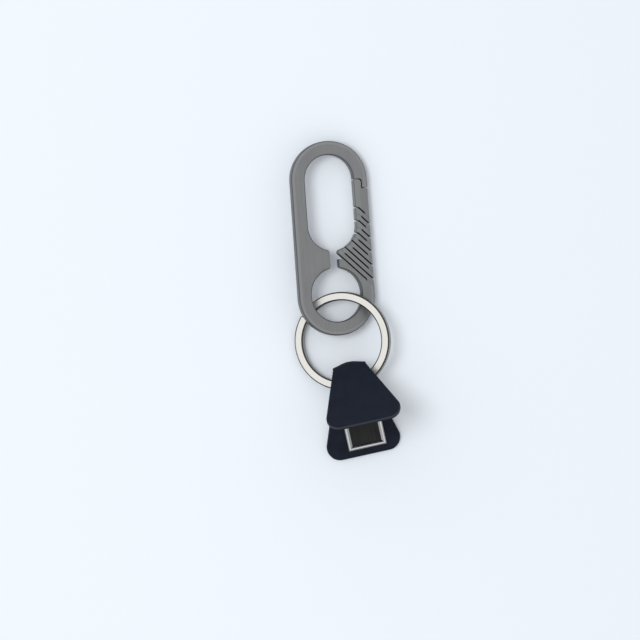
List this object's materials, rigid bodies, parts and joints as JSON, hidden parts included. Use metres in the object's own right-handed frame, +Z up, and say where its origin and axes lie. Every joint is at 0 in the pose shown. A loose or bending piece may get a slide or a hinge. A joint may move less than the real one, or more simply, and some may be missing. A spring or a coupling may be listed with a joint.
{
  "type": "carabiner key organiser",
  "caption": "Flat metal carabiner with a slotted spring gate, a split key ring in its eye and a folded strap tab with a magnetic catch.",
  "frame": {"origin": "on the floor, under the middle of the whole object as it lies on a table", "axes": "+Z up, +Y along the carabiner towards its hook end, +X to its gate side"},
  "size_m": [0.0347, 0.11, 0.0298],
  "materials": {
    "titanium": "matte blasted titanium, brushed lengthwise",
    "titanium_gate": "matte blasted titanium, brushed lengthwise",
    "ring_steel": "polished flat faces, darker bevels",
    "strap_outer": "matte navy black",
    "strap_lining": "matte navy black",
    "catch_steel": "satin steel with bright bevels",
    "magnet": "dark, semi gloss"
  },
  "bodies": {
    "frame": {"carabiner_frame": "titanium"},
    "leaf_1": {"gate_leaf_1": "titanium_gate"},
    "leaf_2": {"gate_leaf_2": "titanium_gate"},
    "leaf_3": {"gate_leaf_3": "titanium_gate"},
    "leaf_4": {"gate_leaf_4": "titanium_gate"},
    "leaf_5": {"gate_leaf_5": "titanium_gate"},
    "leaf_6": {"gate_leaf_6": "titanium_gate"},
    "leaf_7": {"gate_leaf_7": "titanium_gate"},
    "leaf_8": {"gate_leaf_8": "titanium_gate"},
    "leaf_9": {"gate_leaf_9": "titanium_gate"},
    "leaf_10": {"gate_leaf_10": "titanium_gate"},
    "arm": {"gate_arm": "titanium_gate"},
    "ring": {"split_ring": "ring_steel"},
    "tab": {"lower_cover": "strap_outer", "lower_lining": "strap_lining", "catch_frame": "catch_steel", "catch_magnet": "magnet", "strap_bend": "strap_outer"},
    "flap": {"upper_cover": "strap_outer", "upper_lining": "strap_lining", "keeper_plate": "catch_steel", "keeper_magnet": "magnet"}
  },
  "joints": [
    {"name": "gate_flex", "type": "hinge", "parent": "frame", "child": "leaf_1", "pos_m": [0.00979, 0.00528, 0.0026], "axis": [0.2204, 0.0181, 0.9753], "range_deg": [0, 1.45], "stiffness_Nm_per_rad": 1},
    {"name": "gate_flex_2", "type": "hinge", "parent": "leaf_1", "child": "leaf_2", "pos_m": [0.00084, 0.01678, 0.00441], "axis": [0.2204, 0.0181, 0.9753], "range_deg": [0, 1.45]},
    {"name": "gate_flex_3", "type": "hinge", "parent": "leaf_2", "child": "leaf_3", "pos_m": [0.01021, 0.00958, 0.00243], "axis": [0.2204, 0.0181, 0.9753], "range_deg": [0, 1.45]},
    {"name": "gate_flex_4", "type": "hinge", "parent": "leaf_3", "child": "leaf_4", "pos_m": [0.00382, 0.01847, 0.00371], "axis": [0.2204, 0.0181, 0.9753], "range_deg": [0, 1.45]},
    {"name": "gate_flex_5", "type": "hinge", "parent": "leaf_4", "child": "leaf_5", "pos_m": [0.01019, 0.01433, 0.00235], "axis": [0.2204, 0.0181, 0.9753], "range_deg": [0, 1.45]},
    {"name": "gate_flex_6", "type": "hinge", "parent": "leaf_5", "child": "leaf_6", "pos_m": [0.00593, 0.02104, 0.00318], "axis": [0.2204, 0.0181, 0.9753], "range_deg": [0, 1.45]},
    {"name": "gate_flex_7", "type": "hinge", "parent": "leaf_6", "child": "leaf_7", "pos_m": [0.01018, 0.01908, 0.00226], "axis": [0.2204, 0.0181, 0.9753], "range_deg": [0, 1.45]},
    {"name": "gate_flex_8", "type": "hinge", "parent": "leaf_7", "child": "leaf_8", "pos_m": [0.00707, 0.0245, 0.00286], "axis": [0.2204, 0.0181, 0.9753], "range_deg": [0, 1.45]},
    {"name": "gate_flex_9", "type": "hinge", "parent": "leaf_8", "child": "leaf_9", "pos_m": [0.01016, 0.02383, 0.00218], "axis": [0.2204, 0.0181, 0.9753], "range_deg": [0, 1.45]},
    {"name": "gate_flex_10", "type": "hinge", "parent": "leaf_9", "child": "leaf_10", "pos_m": [0.00714, 0.02907, 0.00276], "axis": [0.2204, 0.0181, 0.9753], "range_deg": [0, 1.45]},
    {"name": "gate_flex_11", "type": "hinge", "parent": "leaf_10", "child": "arm", "pos_m": [0.01014, 0.02858, 0.00209], "axis": [0.2204, 0.0181, 0.9753], "range_deg": [0, 1.45]},
    {"name": "ring_turn", "type": "hinge", "parent": "frame", "child": "ring", "pos_m": [-0.00073, -0.01396, 0.00579], "axis": [0, -1, 0], "range_deg": [0, 110]},
    {"name": "tab_swing", "type": "hinge", "parent": "ring", "child": "tab", "pos_m": [0.00186, -0.02913, 0.00648], "axis": [-0.9513, -0.1736, -0.2549], "range_deg": [-20, 40]},
    {"name": "flap_fold", "type": "hinge", "parent": "tab", "child": "flap", "pos_m": [0.00154, -0.02705, 0.00665], "axis": [-0.9885, -0.1513, 0], "range_deg": [-58, 45], "stiffness_Nm_per_rad": 0.01, "deforming": ["strap_bend"]}
  ],
  "couplings": [
    {"joint": "gate_flex_2", "follows": "gate_flex", "ratio": 1},
    {"joint": "gate_flex_3", "follows": "gate_flex", "ratio": 1},
    {"joint": "gate_flex_4", "follows": "gate_flex", "ratio": 1},
    {"joint": "gate_flex_5", "follows": "gate_flex", "ratio": 1},
    {"joint": "gate_flex_6", "follows": "gate_flex", "ratio": 1},
    {"joint": "gate_flex_7", "follows": "gate_flex", "ratio": 1},
    {"joint": "gate_flex_8", "follows": "gate_flex", "ratio": 1},
    {"joint": "gate_flex_9", "follows": "gate_flex", "ratio": 1},
    {"joint": "gate_flex_10", "follows": "gate_flex", "ratio": 1},
    {"joint": "gate_flex_11", "follows": "gate_flex", "ratio": 1}
  ]
}
